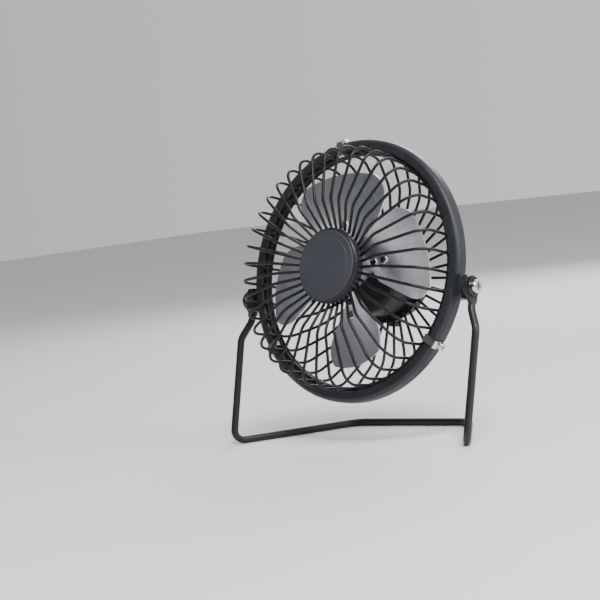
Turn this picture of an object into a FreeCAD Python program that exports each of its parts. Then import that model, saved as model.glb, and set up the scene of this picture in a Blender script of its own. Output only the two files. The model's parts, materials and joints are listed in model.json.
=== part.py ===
import FreeCAD, Part
import math
import os

# A small metal desk fan. Millimetres, +Z up, the front of the fan faces -Y and +X is on the
# right of someone who stands in front of it. The origin is on the table, straight below the tilt axis.
# Pieces of the head are drawn around the centre of the ring, with the fan's axis along Y and its
# front towards -Y, and are then tilted back about the side screws. In these notes "forward" is the
# distance in front of the ring's middle plane and "radius" the distance from the fan's axis.

Vector = FreeCAD.Vector

# Stand: one bent rod
ROD_D = 3.8
PIVOT_HEIGHT = 74.0
EYE_THICKNESS = 2.2
EYE_RADIUS = 5.5
NECK_LENGTH = 6.5
NECK_HALF_WIDTH = 1.8
SHOULDER_OUT = 5.0
SHOULDER_FORWARD = 6.5
SHOULDER_TOP_DROP = 10.5
SHOULDER_DROP = 19.5
SHOULDER_BEND = 8.0
FOOT_SPREAD = 3.9
FOOT_FORWARD = 23.0
FOOT_BEND = 5.0
REAR_CORNER_X = 37.0
REAR_BAR_BACK = 34.0
REAR_BEND = 13.0

# Head: rest angle and place of the ring
REST_TILT = 14.0
RING_RISE = 12.0
RING_SETBACK = -1.5

# Ring: folded sheet rim, open towards the back
RING_RADIUS = 67.5
RING_FACE = 6.0
RING_FRONT = 2.5
RING_BACK = -4.0
RING_LIP_BACK = -0.4
RING_SHEET = 1.0
RING_OUTER_BEND = 2.2
RING_INNER_BEND = 1.4

# Guards
WIRE_D = 1.5
WIRE_COUNT = 40
HOOP_D = 2.0
WELD_SINK = 0.12
FRONT_RIDGE_RADIUS = 33.5
FRONT_RIDGE_FORWARD = 23.6
FRONT_RIDGE_BEND = 9.0
FRONT_SHOULDER_FORWARD = 20.6
FRONT_SHOULDER_BULGE = 1.6
FRONT_SHOULDER_BEND = 8.5
FRONT_HOOP_FORWARD = 0.4
REAR_HOOP_FORWARD = -2.3
REAR_SHOULDER_INSET = 1.25
REAR_SHOULDER_BACK = 10.5
REAR_SHOULDER_BEND = 9.0
REAR_KNEE_RADIUS = 46.0
REAR_KNEE_BACK = 21.5
REAR_KNEE_BEND = 14.0
REAR_END_BEND = 4.0
REAR_END_REACH = 1.0

# Front plate and cap
INNER_HOOP_RADIUS = 16.6
INNER_HOOP_FORWARD = 14.6
PLATE_RADIUS = 19.2
PLATE_FRONT = 21.8
PLATE_SHEET = 0.9
PLATE_BEND = 2.0
CAP_RADIUS = 17.7
CAP_THICKNESS = 1.0
CAP_EDGE = 0.7

# Clips that hold the front guard
CLIP_ANGLES = (99.0, -36.0, 216.0)
CLIP_WIDTH = 4.0
CLIP_SHEET = 0.8
CLIP_BEND = 0.3
CLIP_SCREW_R = 1.1
CLIP_SCREW_LENGTH = 3.4
CLIP_HEAD_R = 2.3
CLIP_HEAD_HEIGHT = 1.5

# Side pivots
BRACKET_REACH = 3.0
BRACKET_DEPTH = 10.0
BRACKET_HEIGHT = 12.0
BRACKET_BEND = 1.5
BRACKET_ROOT = 4.0
PIVOT_SCREW_R = 2.0
PIVOT_HEAD_R = 3.3
PIVOT_HEAD_HEIGHT = 2.4
PIVOT_THREAD_LENGTH = 3.6
FRICTION_WASHER = 0.9
FRICTION_WASHER_R = 4.8
OUTER_WASHER = 1.0
OUTER_WASHER_R = 4.8
PIVOT_RUNNING = 0.06
SIDE_GAP = 0.05

# Screw heads, as shares of the head's own radius and height
HEAD_ROUNDING = 0.45
RECESS_WIDTH = 0.3
RECESS_LENGTH = 1.1
RECESS_DEPTH = 0.5

# Motor housing and rear cover
HOUSING_RADIUS = 21.0
HOUSING_WALL = 1.2
HOUSING_FRONT_BACK = 9.0
HOUSING_BEND = 3.0
REAR_PLATE_BACK = 27.0
REAR_PLATE_THICKNESS = 1.2
REAR_PLATE_RIM = 3.0
REAR_PLATE_HOLE = 10.0
COVER_DEPTH = 10.0
COVER_BEND = 3.5
COVER_SCREW_INSET = 4.6
COVER_SCREW_R = 1.25
COVER_SCREW_HEAD_R = 2.3
COVER_SCREW_HEAD_HEIGHT = 1.4
COVER_SCREW_LENGTH = 15.0
COVER_POST_R = 2.6
COVER_POST_LENGTH = 7.0
COVER_SCREW_ANGLES = (90.0, 210.0, 330.0)
SEAT_GAP = 0.05

# Motor
CAN_RADIUS = 12.2
CAN_WALL = 0.8
CAN_LENGTH = 15.0
CAN_BOSS_R = 3.4
CAN_BOSS_LENGTH = 2.2
END_CAP_THICKNESS = 2.0
END_CAP_INSET = 1.0
BUSH_R = 2.4
BUSH_LENGTH = 3.0
SHAFT_R = 1.0
SHAFT_RUNNING = 0.03
SHAFT_FRONT = 11.5
MOTOR_SCREW_OFFSET = 8.0
MOTOR_SCREW_R = 1.0
MOTOR_SCREW_HEAD_R = 1.9
MOTOR_SCREW_HEAD_HEIGHT = 1.2
MAGNET_THICKNESS = 1.8
MAGNET_LENGTH = 9.0
MAGNET_ANGLE = 120.0
MAGNET_FRONT_GAP = 0.6
AIR_GAP = 0.4
CORE_LENGTH = 6.0
CORE_BODY_R = 3.4
POLE_ARM_WIDTH = 2.6
POLE_SHOE = 1.2
POLE_COUNT = 3
SLOT_ANGLE = 24.0
COIL_THICKNESS = 1.5
COIL_GAP = 0.1
COIL_START_R = 4.4
COMMUTATOR_R = 2.3
COMMUTATOR_LENGTH = 2.4
COMMUTATOR_GAP = 0.3
COMMUTATOR_SLIT = 0.3
COMMUTATOR_SLIT_DEPTH = 0.5
BRUSH_WIDTH = 1.6
BRUSH_THICKNESS = 0.8
BRUSH_REACH = 3.6
TERMINAL_OFFSET = 7.2
TERMINAL_WIDTH = 2.0
TERMINAL_SHEET = 0.5
TERMINAL_LENGTH = 3.4

# Rotor blades
BLADE_COUNT = 4
BLADE_TIP_R = 50.0
BLADE_PHASE = 9.0
BLADE_SHEET = 0.9
BLADE_MIDDLE_FORWARD = 4.0
BLADE_LEAD = 14.0
BLADE_SPAN_ANGLE = 80.0
BLADE_ROOT_R = 13.0
BLADE_ROOT_HALF = 8.0
BLADE_BELLY_R = 37.0
BLADE_BELLY_HALF = 24.0
BLADE_TIP_HALF = 17.0
BLADE_CORNER = 12.0
BLADE_ROOT_CORNER = 3.0
ARM_SHEET = 1.2
ARM_LENGTH_R = 27.0
ARM_HALF = 4.5
ARM_CORNER = 3.6
ARM_ROOT_HALF = 3.0
ARM_ROOT_R = 6.4
HUB_R = 8.0
HUB_BACK = -2.5
HUB_FRONT = 10.0
HUB_FRONT_BEND = 1.5
HUB_BACK_BEND = 1.0
RIVET_R = 1.2
RIVET_HEAD_R = 2.2
RIVET_HEAD_HEIGHT = 0.8
RIVET_HEAD_BEND = 0.55
RIVET_SINK = 0.25
RIVET_RADII = (17.0, 23.5)

# Switch, button and cable inlet
SWITCH_SIZE = 9.0
SWITCH_BEND = 0.8
SWITCH_FLANGE_R = 6.1
SWITCH_FLANGE_OVERLAP = 0.4
SWITCH_TAB_LENGTH = 2.0
SWITCH_TAB_WIDTH = 1.6
SWITCH_TAB_BACK = 1.5
SWITCH_TAB_RISE = 1.4
SWITCH_FRONT_BACK = 28.4
SWITCH_LENGTH = 6.0
SWITCH_BORE_R = 2.4
SWITCH_BORE_DEPTH = 4.9
BUTTON_R = 3.6
BUTTON_BEND = 0.8
BUTTON_PROUD = 2.6
BUTTON_TRAVEL = 1.5
BUTTON_CLEARANCE = 0.1
BUTTON_HOLE_CLEARANCE = 0.3
SPRING_WIRE = 0.35
SPRING_TURNS = 2.5
SPRING_END_GAP = 0.05
SPRING_PRESSED = 0.95
GLAND_BORE_R = 1.6
GLAND_BODY_R = 3.0
GLAND_FLANGE_R = 4.0
GLAND_FLANGE = 1.2
GLAND_LENGTH = 7.0
GLAND_BACK = 33.0
GLAND_WALL_GAP = 0.3
LEAD_D = 1.0
LEAD_APART = 1.2
LEAD_RISE = 6.0
LEAD_BEND = 2.0
LEAD_OVER_SWITCH = 2.5

ROD_R = ROD_D / 2
WIRE_R = WIRE_D / 2
HOOP_R = HOOP_D / 2
RING_INNER_RADIUS = RING_RADIUS - RING_FACE
HOOP_RING_RADIUS = RING_INNER_RADIUS - HOOP_R - SEAT_GAP
REAR_SHOULDER_RADIUS = HOOP_RING_RADIUS - REAR_SHOULDER_INSET
REAR_PLATE_RADIUS = HOUSING_RADIUS + REAR_PLATE_RIM
COVER_SCREW_CIRCLE = HOUSING_RADIUS - COVER_SCREW_INSET
BRACKET_OUTER_X = RING_RADIUS + BRACKET_REACH
EYE_X = BRACKET_OUTER_X + SEAT_GAP + FRICTION_WASHER + SIDE_GAP + EYE_THICKNESS / 2
FOOT_X = EYE_X + FOOT_SPREAD
WIRE_PITCH = 360.0 / WIRE_COUNT
AXIS = Vector(0, 1, 0)


# ---- helpers ----

def unit(vector):
    return vector * (1 / vector.Length)


def rounded_edges(points, radii):
    """Straight runs through the points, joined by tangent arcs of the given radii."""
    edges = []
    start = points[0]
    for before, at, after, radius in zip(points, points[1:], points[2:], radii):
        back = unit(before - at)
        on = unit(after - at)
        half = back.getAngle(on) / 2
        bisector = unit(back + on)
        reach = radius / math.tan(half)
        middle = at + bisector * (radius / math.sin(half) - radius)
        arc_start = at + back * reach
        arc_end = at + on * reach
        if (arc_start - start).Length > 1e-6:
            edges.append(Part.LineSegment(start, arc_start).toShape())
        edges.append(Part.Arc(arc_start, middle, arc_end).toShape())
        start = arc_end
    edges.append(Part.LineSegment(start, points[-1]).toShape())
    return edges


def round_bar(points, radii, diameter):
    """Solid round bar along straight runs and tangent arcs."""
    path = Part.Wire(rounded_edges(points, radii))
    circle = Part.makeCircle(diameter / 2, points[0], points[1] - points[0])
    return path.makePipeShell([Part.Wire(circle)], True, False)


def closed_outline(corners):
    """Closed wire through corners given as (point, radius); a radius of 0 keeps the corner sharp."""
    points = [point for point, radius in corners]
    count = len(points)
    nodes = []
    for index, (at, radius) in enumerate(corners):
        if radius == 0:
            nodes.append((at, None, at))
            continue
        back = unit(points[index - 1] - at)
        on = unit(points[(index + 1) % count] - at)
        half = back.getAngle(on) / 2
        reach = radius / math.tan(half)
        middle = at + unit(back + on) * (radius / math.sin(half) - radius)
        nodes.append((at + back * reach, middle, at + on * reach))
    edges = []
    for index, (start, middle, end) in enumerate(nodes):
        if middle is not None:
            edges.append(Part.Arc(start, middle, end).toShape())
        following = nodes[(index + 1) % count][0]
        if (following - end).Length > 1e-6:
            edges.append(Part.LineSegment(end, following).toShape())
    return Part.Wire(edges)


def turned(section):
    """Solid of revolution about the fan's axis; the section lists (radius, forward, corner radius)."""
    corners = [(Vector(radius, -forward, 0), bend) for radius, forward, bend in section]
    face = Part.Face(closed_outline(corners))
    return face.revolve(Vector(0, 0, 0), AXIS, 360)


def tube(outer, inner, back, front):
    """Ring or disc about the fan's axis, between two forward distances."""
    solid = Part.makeCylinder(outer, front - back, Vector(0, -front, 0), AXIS)
    if inner > 0:
        solid = solid.cut(Part.makeCylinder(inner, front - back, Vector(0, -front, 0), AXIS))
    return solid


def pin(radius, length, base, direction):
    return Part.makeCylinder(radius, length, base, direction)


def hoop(radius, forward, diameter):
    return Part.makeTorus(radius, diameter / 2, Vector(0, -forward, 0), AXIS)


def turn(shape, degrees):
    """Copy turned about the fan's axis, counterclockwise as seen from the front."""
    copy = shape.copy()
    copy.rotate(Vector(0, 0, 0), AXIS, -degrees)
    return copy


def mirrored(shape):
    return shape.mirror(Vector(0, 0, 0), Vector(1, 0, 0))


def in_plane(radius, forward):
    """Point in the plane of the fan's axis and +X."""
    return Vector(radius, -forward, 0)


def head_place():
    """From the ring's own frame to the fan standing at rest."""
    centre = FreeCAD.Placement(Vector(0, RING_SETBACK, RING_RISE), FreeCAD.Rotation())
    tilt = FreeCAD.Placement(Vector(0, 0, PIVOT_HEIGHT), FreeCAD.Rotation(Vector(1, 0, 0), -REST_TILT))
    return tilt.multiply(centre)


def pivot_local():
    """The tilt axis' middle in the ring's own frame."""
    return Vector(0, -RING_SETBACK, -RING_RISE)


# ---- stand ----

def stand_side():
    """Corner points of the rod's right half, from below the eye to the middle of the rear bar."""
    eye_foot = PIVOT_HEIGHT - NECK_LENGTH
    return [
        Vector(EYE_X, 0, eye_foot),
        Vector(EYE_X, -SHOULDER_FORWARD / 4, PIVOT_HEIGHT - SHOULDER_TOP_DROP),
        Vector(EYE_X + SHOULDER_OUT, -SHOULDER_FORWARD, PIVOT_HEIGHT - SHOULDER_DROP),
        Vector(FOOT_X, -FOOT_FORWARD, ROD_R),
        Vector(REAR_CORNER_X, REAR_BAR_BACK, ROD_R),
    ]


def eye():
    """Flattened rod end: a drilled round tab that narrows to the rod."""
    left = EYE_X - EYE_THICKNESS / 2
    top = pin(EYE_RADIUS, EYE_THICKNESS, Vector(left, 0, PIVOT_HEIGHT), Vector(1, 0, 0))
    neck_z = PIVOT_HEIGHT - NECK_LENGTH - ROD_R
    neck = Part.makePolygon([
        Vector(left, -EYE_RADIUS, PIVOT_HEIGHT),
        Vector(left, -NECK_HALF_WIDTH, neck_z),
        Vector(left, NECK_HALF_WIDTH, neck_z),
        Vector(left, EYE_RADIUS, PIVOT_HEIGHT),
        Vector(left, -EYE_RADIUS, PIVOT_HEIGHT),
    ])
    tab = top.fuse(Part.Face(neck).extrude(Vector(EYE_THICKNESS, 0, 0)))
    hole_r = PIVOT_SCREW_R + PIVOT_RUNNING
    return tab.cut(pin(hole_r, EYE_THICKNESS, Vector(left, 0, PIVOT_HEIGHT), Vector(1, 0, 0)))


def stand_frame():
    right = stand_side()
    left = [Vector(-point.x, point.y, point.z) for point in reversed(right)]
    bends = [SHOULDER_BEND, SHOULDER_BEND, FOOT_BEND, REAR_BEND]
    rod = round_bar(right + left, bends + bends[::-1], ROD_D)
    right_eye = eye()
    return rod.multiFuse([right_eye, mirrored(right_eye)]).removeSplitter()


# ---- ring and guards ----

def outer_ring():
    """Folded rim: outer wall, rounded front face and a short inner lip, open at the back."""
    inner = RING_INNER_RADIUS
    sheet = RING_SHEET
    ring = turned([
        (RING_RADIUS, RING_BACK, 0),
        (RING_RADIUS, RING_FRONT, RING_OUTER_BEND),
        (inner, RING_FRONT, RING_INNER_BEND),
        (inner, RING_LIP_BACK, 0),
        (inner + sheet, RING_LIP_BACK, 0),
        (inner + sheet, RING_FRONT - sheet, RING_INNER_BEND - sheet),
        (RING_RADIUS - sheet, RING_FRONT - sheet, RING_OUTER_BEND - sheet),
        (RING_RADIUS - sheet, RING_BACK, 0),
    ])
    for angle in CLIP_ANGLES:
        ring = ring.cut(turn(clip_screw_hole(3 * sheet, 4 * sheet), angle))
    return ring


def front_wire_start():
    """Radius and forward distance where a front wire leaves the inner hoop."""
    return INNER_HOOP_RADIUS + HOOP_R, INNER_HOOP_FORWARD + HOOP_R + WIRE_R - WELD_SINK


def front_wire():
    """One wire of the front guard, in the plane of +X."""
    start_radius, start_forward = front_wire_start()
    points = [
        in_plane(INNER_HOOP_RADIUS - HOOP_R, start_forward),
        in_plane(start_radius, start_forward),
        in_plane(FRONT_RIDGE_RADIUS, FRONT_RIDGE_FORWARD),
        in_plane(HOOP_RING_RADIUS + FRONT_SHOULDER_BULGE, FRONT_SHOULDER_FORWARD),
        in_plane(HOOP_RING_RADIUS, FRONT_HOOP_FORWARD + HOOP_R - WELD_SINK),
    ]
    return round_bar(points, [WIRE_D, FRONT_RIDGE_BEND, FRONT_SHOULDER_BEND], WIRE_D)


def plate_rim():
    """Forward distance of the front plate's rim, which rests on the front wires."""
    start_radius, start_forward = front_wire_start()
    slope = (FRONT_RIDGE_FORWARD - start_forward) / (FRONT_RIDGE_RADIUS - start_radius)
    middle = PLATE_RADIUS - PLATE_SHEET / 2
    top = WIRE_R * math.sqrt(1 + slope ** 2)
    return start_forward + (middle - start_radius) * slope + top - 2 * WELD_SINK


def rear_wire():
    """One wire of the rear guard, in the plane of +X."""
    plate_face = REAR_PLATE_BACK - WIRE_R + WELD_SINK
    points = [
        in_plane(HOOP_RING_RADIUS, REAR_HOOP_FORWARD - HOOP_R + WELD_SINK),
        in_plane(REAR_SHOULDER_RADIUS, -REAR_SHOULDER_BACK),
        in_plane(REAR_KNEE_RADIUS, -REAR_KNEE_BACK),
        in_plane(REAR_PLATE_RADIUS, -plate_face),
        in_plane(HOUSING_RADIUS + REAR_END_REACH, -plate_face),
    ]
    return round_bar(points, [REAR_SHOULDER_BEND, REAR_KNEE_BEND, REAR_END_BEND], WIRE_D)


def around(shape, count, phase):
    """Compound of separate copies spread evenly round the fan's axis."""
    return Part.makeCompound([turn(shape, phase + index * 360.0 / count) for index in range(count)])


def front_plate():
    """Pressed cup that hides the wires' inner ends."""
    inner = PLATE_RADIUS - PLATE_SHEET
    rim = plate_rim()
    return turned([
        (0, PLATE_FRONT, 0),
        (PLATE_RADIUS, PLATE_FRONT, PLATE_BEND),
        (PLATE_RADIUS, rim, 0),
        (inner, rim, 0),
        (inner, PLATE_FRONT - PLATE_SHEET, PLATE_BEND - PLATE_SHEET),
        (0, PLATE_FRONT - PLATE_SHEET, 0),
    ])


def front_cap():
    """Plain satin disc on the front plate."""
    front = PLATE_FRONT + CAP_THICKNESS
    return turned([
        (0, front, 0),
        (CAP_RADIUS, front, CAP_EDGE),
        (CAP_RADIUS, PLATE_FRONT, 0),
        (0, PLATE_FRONT, 0),
    ])


def rear_plate():
    back = -REAR_PLATE_BACK - REAR_PLATE_THICKNESS
    plate = tube(REAR_PLATE_RADIUS, REAR_PLATE_HOLE, back, -REAR_PLATE_BACK)
    hole_base = Vector(COVER_SCREW_CIRCLE, REAR_PLATE_BACK, 0)
    hole = pin(COVER_SCREW_R + SEAT_GAP, REAR_PLATE_THICKNESS, hole_base, AXIS)
    for angle in COVER_SCREW_ANGLES:
        plate = plate.cut(turn(hole, angle))
    return plate


# ---- clips ----

def clip_screw_seat():
    """Where a clip's screw meets the ring's outer wall, for a clip on +X."""
    middle = (RING_FRONT - RING_OUTER_BEND + RING_BACK) / 2
    return Vector(RING_RADIUS + SEAT_GAP, -middle, 0)


def clip_screw_hole(inside, length):
    """Clearance hole for a clip's screw that starts this far inside the ring's outer wall."""
    return pin(CLIP_SCREW_R + SEAT_GAP, length, clip_screw_seat() - Vector(inside, 0, 0), Vector(1, 0, 0))


def guard_clip():
    """Bent strip from the ring's outer wall over its face to the front hoop."""
    outside = RING_RADIUS + SEAT_GAP
    top = RING_FRONT + SEAT_GAP
    hook = HOOP_RING_RADIUS - CLIP_SHEET / 2
    hook_back = FRONT_HOOP_FORWARD + HOOP_R + SEAT_GAP
    sheet = CLIP_SHEET
    section = [
        (outside, RING_BACK, 0),
        (outside, top, CLIP_BEND),
        (hook + sheet, top, CLIP_BEND),
        (hook + sheet, hook_back, 0),
        (hook, hook_back, 0),
        (hook, top + sheet, sheet),
        (outside + sheet, top + sheet, sheet),
        (outside + sheet, RING_BACK, 0),
    ]
    corners = [(Vector(radius, -forward, -CLIP_WIDTH / 2), bend) for radius, forward, bend in section]
    strip = Part.Face(closed_outline(corners)).extrude(Vector(0, 0, CLIP_WIDTH))
    return strip.cut(clip_screw_hole(sheet, 3 * sheet))


def recess(seat, out, across, head_r, head_height):
    """One arm of the cross cut into a screw's head."""
    along = unit(out.cross(across))
    width = head_r * RECESS_WIDTH
    length = head_r * RECESS_LENGTH
    depth = head_height * RECESS_DEPTH
    corner = seat + out * (head_height - depth) - across * (width / 2) - along * (length / 2)
    outline = Part.makePolygon([
        corner, corner + across * width, corner + across * width + along * length,
        corner + along * length, corner,
    ])
    return Part.Face(outline).extrude(out * head_height)


def pan_screw(seat, direction, shank_r, shank_length, head_r, head_height):
    """Pan-head screw with a cross recess; seat is under its head and direction points out of it."""
    out = unit(direction)
    head = pin(head_r, head_height, seat, out)
    middle = head_height / 2
    rim = [edge for edge in head.Edges if edge.Closed and (edge.CenterOfMass - seat).dot(out) > middle]
    head = head.makeFillet(head_height * HEAD_ROUNDING, rim)
    shank = pin(shank_r, shank_length, seat - out * shank_length, out)
    side = Vector(out.y, -out.x, 0)
    screw = head.fuse(shank)
    for across in (side, Vector(0, 0, 1)):
        screw = screw.cut(recess(seat, out, across, head_r, head_height))
    return screw


def clip_screw():
    seat = clip_screw_seat() + Vector(CLIP_SHEET + SEAT_GAP, 0, 0)
    return pan_screw(seat, Vector(1, 0, 0), CLIP_SCREW_R, CLIP_SCREW_LENGTH, CLIP_HEAD_R, CLIP_HEAD_HEIGHT)


# ---- side pivots, drawn in the ring's frame on the +X side ----

def pivot_bracket():
    """Block on the ring's outer wall, threaded for the pivot screw."""
    centre = pivot_local()
    root_x = RING_RADIUS - BRACKET_ROOT
    size = Vector(BRACKET_OUTER_X - root_x, BRACKET_DEPTH, BRACKET_HEIGHT)
    low_y = -RING_FRONT - (BRACKET_DEPTH - (RING_FRONT - RING_BACK)) / 2
    low = Vector(root_x, low_y, centre.z - BRACKET_HEIGHT / 2)
    block = Part.makeBox(size.x, size.y, size.z, low)
    long_edges = [edge for edge in block.Edges if abs(edge.tangentAt(edge.FirstParameter).x) > 0.9]
    block = block.makeFillet(BRACKET_BEND, long_edges)
    block = block.cut(tube(RING_RADIUS + SEAT_GAP, 0, -BRACKET_DEPTH, BRACKET_DEPTH))
    bore_start = Vector(BRACKET_OUTER_X - PIVOT_THREAD_LENGTH, centre.y, centre.z)
    return block.cut(pin(PIVOT_SCREW_R, PIVOT_THREAD_LENGTH, bore_start, Vector(1, 0, 0)))


def pivot_stack():
    """Starts and ends along X of the friction washer and the outer washer."""
    friction_start = BRACKET_OUTER_X + SEAT_GAP
    friction_end = EYE_X - EYE_THICKNESS / 2 - SIDE_GAP
    outer_start = EYE_X + EYE_THICKNESS / 2 + SIDE_GAP
    outer_end = outer_start + OUTER_WASHER
    return friction_start, friction_end, outer_start, outer_end


def pivot_washer(radius, start, end):
    centre = pivot_local()
    base = Vector(start, centre.y, centre.z)
    disc = pin(radius, end - start, base, Vector(1, 0, 0))
    return disc.cut(pin(PIVOT_SCREW_R + SEAT_GAP, end - start, base, Vector(1, 0, 0)))


def pivot_screw():
    centre = pivot_local()
    seat_x = pivot_stack()[3] + SEAT_GAP
    seat = Vector(seat_x, centre.y, centre.z)
    reach = seat_x - (BRACKET_OUTER_X - PIVOT_THREAD_LENGTH)
    return pan_screw(seat, Vector(1, 0, 0), PIVOT_SCREW_R, reach, PIVOT_HEAD_R, PIVOT_HEAD_HEIGHT)


def both_sides(shape):
    return Part.makeCompound([shape, mirrored(shape)])


# ---- housing, motor ----

def motor_housing():
    """Cup in front of the rear plate that carries the motor."""
    back = -REAR_PLATE_BACK + SEAT_GAP
    front = -HOUSING_FRONT_BACK
    wall = HOUSING_WALL
    hole = CAN_BOSS_R + 2 * SEAT_GAP
    cup = turned([
        (hole, front, 0),
        (HOUSING_RADIUS, front, HOUSING_BEND),
        (HOUSING_RADIUS, back, 0),
        (HOUSING_RADIUS - wall, back, 0),
        (HOUSING_RADIUS - wall, front - wall, HOUSING_BEND - wall),
        (hole, front - wall, 0),
    ])
    post_base = Vector(COVER_SCREW_CIRCLE, -back - COVER_POST_LENGTH, 0)
    reach = pin(COVER_POST_R, COVER_POST_LENGTH, post_base, AXIS)
    web_length = HOUSING_RADIUS - wall / 2 - COVER_SCREW_CIRCLE
    web = Part.makeBox(web_length, COVER_POST_LENGTH, wall, post_base - Vector(0, 0, wall / 2))
    post = reach.fuse(web)
    bore = pin(COVER_SCREW_R, COVER_POST_LENGTH, post_base, AXIS)
    for angle in COVER_SCREW_ANGLES:
        cup = cup.fuse(turn(post, angle)).cut(turn(bore, angle))
    for side in (1, -1):
        hole_base = Vector(side * MOTOR_SCREW_OFFSET, -front, 0)
        cup = cup.cut(pin(MOTOR_SCREW_R + SEAT_GAP, wall, hole_base, AXIS))
    return cup


def can_front():
    """Forward distance of the motor can's front face."""
    return -HOUSING_FRONT_BACK - HOUSING_WALL - SEAT_GAP


def motor_can():
    front = can_front()
    back = front - CAN_LENGTH
    can = turned([
        (BUSH_R, front + CAN_BOSS_LENGTH, 0),
        (CAN_BOSS_R, front + CAN_BOSS_LENGTH, 0),
        (CAN_BOSS_R, front, 0),
        (CAN_RADIUS, front, CAN_WALL),
        (CAN_RADIUS, back, 0),
        (CAN_RADIUS - CAN_WALL, back, 0),
        (CAN_RADIUS - CAN_WALL, front - CAN_WALL, 0),
        (BUSH_R, front - CAN_WALL, 0),
    ])
    for side in (1, -1):
        base = Vector(side * MOTOR_SCREW_OFFSET, -front, 0)
        can = can.cut(pin(MOTOR_SCREW_R, CAN_WALL, base, AXIS))
    return can


def motor_screws():
    screws = []
    for side in (1, -1):
        seat = Vector(side * MOTOR_SCREW_OFFSET, HOUSING_FRONT_BACK - SEAT_GAP, 0)
        length = HOUSING_WALL + CAN_WALL + 3 * SEAT_GAP
        screws.append(pan_screw(seat, Vector(0, -1, 0), MOTOR_SCREW_R, length,
                                MOTOR_SCREW_HEAD_R, MOTOR_SCREW_HEAD_HEIGHT))
    return Part.makeCompound(screws)


def wedge(inner, outer, back, front, angle):
    """Part of a ring, centred on +X."""
    ring = tube(outer, inner, back, front)
    reach = outer * 2
    half = math.radians(angle / 2)
    corner = Vector(reach * math.cos(half), -front, reach * math.sin(half))
    outline = Part.makePolygon([
        Vector(0, -front, 0), corner, Vector(reach * 2, -front, 0),
        Vector(corner.x, corner.y, -corner.z), Vector(0, -front, 0),
    ])
    return ring.common(Part.Face(outline).extrude(Vector(0, front - back, 0)))


def magnet_middle():
    return can_front() - CAN_WALL - MAGNET_FRONT_GAP - MAGNET_LENGTH / 2


def motor_magnets():
    outer = CAN_RADIUS - CAN_WALL - SEAT_GAP
    middle = magnet_middle()
    magnet = wedge(outer - MAGNET_THICKNESS, outer, middle - MAGNET_LENGTH / 2,
                   middle + MAGNET_LENGTH / 2, MAGNET_ANGLE)
    return around(magnet, 2, 0)


def core_radius():
    return CAN_RADIUS - CAN_WALL - SEAT_GAP - MAGNET_THICKNESS - AIR_GAP


def armature_core():
    """Three-pole laminated core."""
    radius = core_radius()
    middle = magnet_middle()
    back = middle - CORE_LENGTH / 2
    front = middle + CORE_LENGTH / 2
    core = tube(CORE_BODY_R, 0, back, front)
    arm_length = radius - POLE_SHOE / 2
    arm = Part.makeBox(arm_length, CORE_LENGTH, POLE_ARM_WIDTH, Vector(0, -front, -POLE_ARM_WIDTH / 2))
    shoe = wedge(radius - POLE_SHOE, radius, back, front, 360.0 / POLE_COUNT - SLOT_ANGLE)
    for index in range(POLE_COUNT):
        angle = index * 360.0 / POLE_COUNT
        core = core.multiFuse([turn(arm, angle), turn(shoe, angle)])
    return core.cut(tube(SHAFT_R, 0, back, front)).removeSplitter()


def armature_windings():
    """One coil round each pole's arm."""
    middle = magnet_middle()
    hole_w = POLE_ARM_WIDTH + 2 * COIL_GAP
    hole_l = CORE_LENGTH + 2 * COIL_GAP
    outer_w = hole_w + 2 * COIL_THICKNESS
    shoe_inner = core_radius() - POLE_SHOE - COIL_GAP
    length = math.sqrt(shoe_inner ** 2 - (outer_w / 2) ** 2) - COIL_START_R
    outer_l = hole_l + 2 * COIL_THICKNESS
    corner = Vector(COIL_START_R, -middle - outer_l / 2, -outer_w / 2)
    block = Part.makeBox(length, outer_l, outer_w, corner)
    ends = [edge for edge in block.Edges if abs(edge.tangentAt(edge.FirstParameter).x) > 0.9]
    block = block.makeFillet(COIL_THICKNESS * 0.8, ends)
    hole = Part.makeBox(length, hole_l, hole_w, Vector(COIL_START_R, -middle - hole_l / 2, -hole_w / 2))
    return around(block.cut(hole), POLE_COUNT, 0)


def commutator_front():
    return magnet_middle() - CORE_LENGTH / 2 - COIL_THICKNESS - COIL_GAP - COMMUTATOR_GAP


def commutator():
    front = commutator_front()
    solid = tube(COMMUTATOR_R, SHAFT_R, front - COMMUTATOR_LENGTH, front)
    corner = Vector(COMMUTATOR_R - COMMUTATOR_SLIT_DEPTH, -front, -COMMUTATOR_SLIT / 2)
    slit = Part.makeBox(COMMUTATOR_R, COMMUTATOR_LENGTH, COMMUTATOR_SLIT, corner)
    for index in range(POLE_COUNT):
        solid = solid.cut(turn(slit, (index + 0.5) * 360.0 / POLE_COUNT))
    return solid


def end_cap_front():
    return can_front() - CAN_LENGTH + END_CAP_INSET


def motor_end_cap():
    """Insulating disc that closes the can and carries the brushes."""
    front = end_cap_front()
    back = front - END_CAP_THICKNESS
    radius = CAN_RADIUS - CAN_WALL - SEAT_GAP
    disc = tube(radius, BUSH_R, back, front)
    for side in (1, -1):
        corner = Vector(side * TERMINAL_OFFSET - TERMINAL_SHEET / 2, -front, -TERMINAL_WIDTH / 2)
        slot = Part.makeBox(TERMINAL_SHEET, END_CAP_THICKNESS, TERMINAL_WIDTH, corner)
        disc = disc.cut(slot)
    return disc


def motor_terminals():
    front = end_cap_front()
    length = END_CAP_THICKNESS + TERMINAL_LENGTH
    tabs = []
    for side in (1, -1):
        corner = Vector(side * TERMINAL_OFFSET - TERMINAL_SHEET / 2, -front, -TERMINAL_WIDTH / 2)
        tabs.append(Part.makeBox(TERMINAL_SHEET, length, TERMINAL_WIDTH, corner))
    return Part.makeCompound(tabs)


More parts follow.
